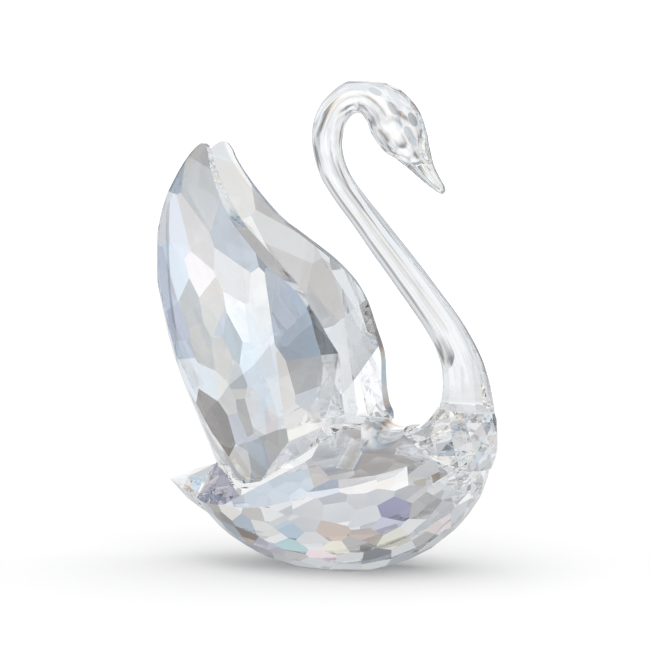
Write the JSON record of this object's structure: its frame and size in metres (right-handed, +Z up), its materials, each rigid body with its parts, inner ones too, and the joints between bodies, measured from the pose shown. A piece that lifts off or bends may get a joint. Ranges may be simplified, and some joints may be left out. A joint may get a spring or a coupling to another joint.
{
  "type": "crystal swan figurine",
  "caption": "Clear cut-crystal swan ornament: a many-faceted body with raised wings, a pointed tail and a smooth curved neck and head, standing on a small polished flat.",
  "frame": {"origin": "centre of the bounding box at its bottom, on the surface the figurine stands on", "axes": "+X towards the swan's chest (forward), +Y towards its left wing, +Z up"},
  "size_m": [0.0646, 0.0354, 0.0842],
  "materials": {
    "clear_crystal": "polished",
    "clear_adhesive": "clear cured film"
  },
  "bodies": {
    "root": {"body": "clear_crystal", "tail": "clear_crystal", "wing_right": "clear_crystal", "wing_left": "clear_crystal", "neck_and_head": "clear_crystal", "tail_bond": "clear_adhesive", "neck_bond": "clear_adhesive", "wing_right_bond": "clear_adhesive", "wing_left_bond": "clear_adhesive"}
  },
  "joints": []
}
